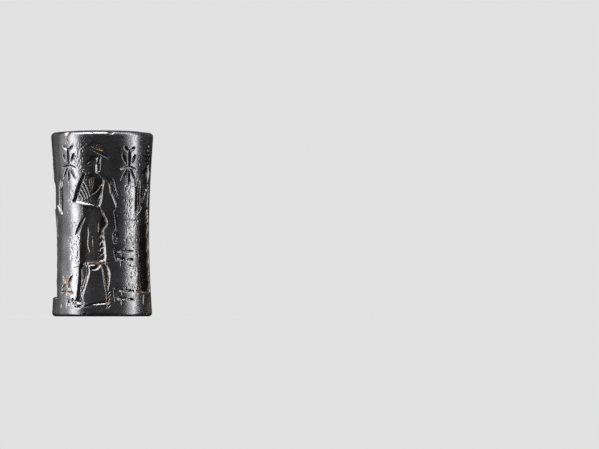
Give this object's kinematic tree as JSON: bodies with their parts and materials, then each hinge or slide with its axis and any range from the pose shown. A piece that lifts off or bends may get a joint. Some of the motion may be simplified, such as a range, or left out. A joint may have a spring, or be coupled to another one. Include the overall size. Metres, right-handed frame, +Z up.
{
  "type": "cylinder seal",
  "caption": "Waisted dark stone cylinder seal, pierced lengthwise for a cord, its wall carved with robed figures and panels of plain strokes.",
  "frame": {"origin": "centre of the flat foot, on the surface the seal stands on", "axes": "+Z up along the seal's axis; the carved man in the kilt faces -Y"},
  "size_m": [0.0148, 0.0148, 0.027],
  "materials": {
    "haematite": "polished, soft metallic gloss"
  },
  "bodies": {
    "root": {"seal": "haematite"}
  },
  "joints": []
}
